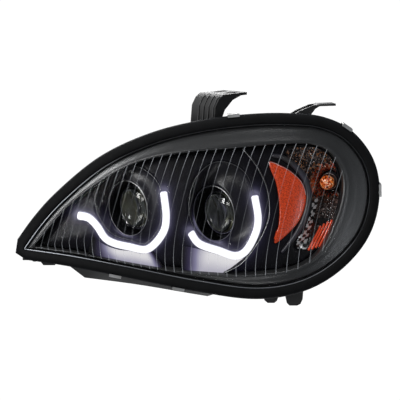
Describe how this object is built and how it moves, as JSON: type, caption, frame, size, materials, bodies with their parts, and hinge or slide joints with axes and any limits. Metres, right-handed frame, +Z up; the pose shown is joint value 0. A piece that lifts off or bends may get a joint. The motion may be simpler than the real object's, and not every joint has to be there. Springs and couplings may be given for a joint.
{
  "type": "truck headlight",
  "caption": "Raked teardrop headlight with projector beams, light bars, amber turn signal, aimable inner frame, covers and brackets.",
  "frame": {"origin": "middle of the flat pad on top of the main upper bracket", "axes": "+Z up; +X along the lamp's length to its rounded outboard end; +Y to the rear. The vehicle's own forward direction is 43 degrees round from the lamp's front towards its inboard tip."},
  "size_m": [0.6758, 0.2904, 0.3775],
  "materials": {
    "housing": "black glass-filled plastic, satin, moulded",
    "lens": "clear hard-coated polycarbonate with thin vertical flutes",
    "gasket": "matte black foam rubber",
    "bezel": "dark grey satin paint",
    "bowl": "gloss black",
    "ring": "bright plated edge",
    "light_guide": "milky light guide, lit white",
    "circuit_board": "green solder mask",
    "amber_plastic": "amber reflex plastic with a fine honeycomb",
    "amber_glass": "amber lamp glass",
    "reflector": "vacuum-metallised, mirror bright",
    "bracket": "black ribbed plastic, scuffed edges",
    "projector_glass": "clear pressed glass",
    "casting": "die-cast, dull",
    "steel": "zinc-plated",
    "adjuster": "black nylon",
    "cover": "black moulded plastic, fine texture"
  },
  "bodies": {
    "housing": {"housing_shell": "housing", "outer_lens": "lens", "rim_gasket": "gasket", "inner_bezel": "bezel", "high_beam_bowl": "bowl", "low_beam_bowl": "bowl", "high_beam_shroud_ring": "ring", "low_beam_shroud_ring": "ring", "high_beam_cover_seal": "gasket", "low_beam_cover_seal": "gasket", "light_bar_inner": "light_guide", "light_bar_outer": "light_guide", "led_board_inner": "circuit_board", "led_board_outer": "circuit_board", "led_driver": "housing", "amber_reflector": "amber_plastic", "turn_signal_reflector": "reflector", "main_bracket": "bracket", "small_bracket": "bracket", "lower_bracket": "bracket", "tip_bracket": "bracket", "vent_cap": "gasket", "main_bracket_bolt_1": "steel", "main_bracket_bolt_2": "steel", "small_bracket_bolt": "steel", "lower_bracket_bolt_1": "steel", "lower_bracket_bolt_2": "steel", "tip_bracket_bolt": "steel", "lens_clip_1": "steel", "lens_clip_2": "steel", "lens_clip_3": "steel", "lens_clip_4": "steel", "lens_clip_5": "steel"},
    "aim_gimbal": {"aim_gimbal": "steel"},
    "aim_frame": {"aim_frame": "casting", "high_beam_projector_lens": "projector_glass", "high_beam_lens_holder": "casting", "high_beam_cutoff_shutter": "steel", "high_beam_reflector": "reflector", "high_beam_bulb": "projector_glass", "high_beam_bulb_base": "adjuster", "low_beam_projector_lens": "projector_glass", "low_beam_lens_holder": "casting", "low_beam_cutoff_shutter": "steel", "low_beam_reflector": "reflector", "low_beam_bulb": "projector_glass", "low_beam_bulb_base": "adjuster"},
    "vertical_ball_stud": {"vertical_ball_stud": "steel"},
    "vertical_aim_screw": {"vertical_aim_screw": "adjuster"},
    "horizontal_ball_stud": {"horizontal_ball_stud": "steel"},
    "horizontal_aim_screw": {"horizontal_aim_screw": "adjuster"},
    "high_beam_cover": {"high_beam_cover": "cover"},
    "low_beam_cover": {"low_beam_cover": "cover"},
    "turn_signal_socket": {"turn_signal_socket": "cover", "turn_signal_bulb": "amber_glass"}
  },
  "joints": [
    {"name": "aim_yaw", "type": "hinge", "parent": "housing", "child": "aim_gimbal", "pos_m": [-0.04092, -0.04079, -0.2835], "axis": [0, 0, 1], "range_deg": [-2, 2]},
    {"name": "aim_tilt", "type": "hinge", "parent": "aim_gimbal", "child": "aim_frame", "pos_m": [-0.04092, -0.04079, -0.2835], "axis": [0.7314, -0.682, 0], "range_deg": [-2.5, 2.5]},
    {"name": "vertical_stud_slide", "type": "slide", "parent": "housing", "child": "vertical_ball_stud", "axis": [0.682, 0.7314, 0], "range_m": [-0.0073, 0.0073]},
    {"name": "vertical_screw_turn", "type": "hinge", "parent": "housing", "child": "vertical_aim_screw", "pos_m": [-0.04092, -0.04079, -0.1205], "axis": [0.682, 0.7314, 0], "range_deg": [-860, 860]},
    {"name": "horizontal_stud_slide", "type": "slide", "parent": "housing", "child": "horizontal_ball_stud", "axis": [0.682, 0.7314, 0], "range_m": [-0.0025, 0.0025]},
    {"name": "horizontal_screw_turn", "type": "hinge", "parent": "housing", "child": "horizontal_aim_screw", "pos_m": [0.01028, -0.08853, -0.2835], "axis": [0.682, 0.7314, 0], "range_deg": [-296, 296]},
    {"name": "high_beam_cover_turn", "type": "hinge", "parent": "housing", "child": "high_beam_cover", "pos_m": [-0.17092, -0.08879, -0.2045], "axis": [0.682, 0.7314, 0], "range_deg": [0, 45]},
    {"name": "low_beam_cover_turn", "type": "hinge", "parent": "housing", "child": "low_beam_cover", "pos_m": [-0.01292, -0.09779, -0.2125], "axis": [0.682, 0.7314, 0], "range_deg": [0, 45]},
    {"name": "turn_socket_turn", "type": "hinge", "parent": "housing", "child": "turn_signal_socket", "pos_m": [0.19808, -0.06179, -0.1605], "axis": [0.342, 0.9397, 0], "range_deg": [0, 45]}
  ],
  "couplings": [
    {"joint": "vertical_stud_slide", "follows": "aim_tilt", "m_per_rad": -0.163},
    {"joint": "vertical_screw_turn", "follows": "aim_tilt", "ratio": -341.38},
    {"joint": "horizontal_stud_slide", "follows": "aim_yaw", "m_per_rad": 0.07},
    {"joint": "horizontal_screw_turn", "follows": "aim_yaw", "ratio": 146.61}
  ]
}
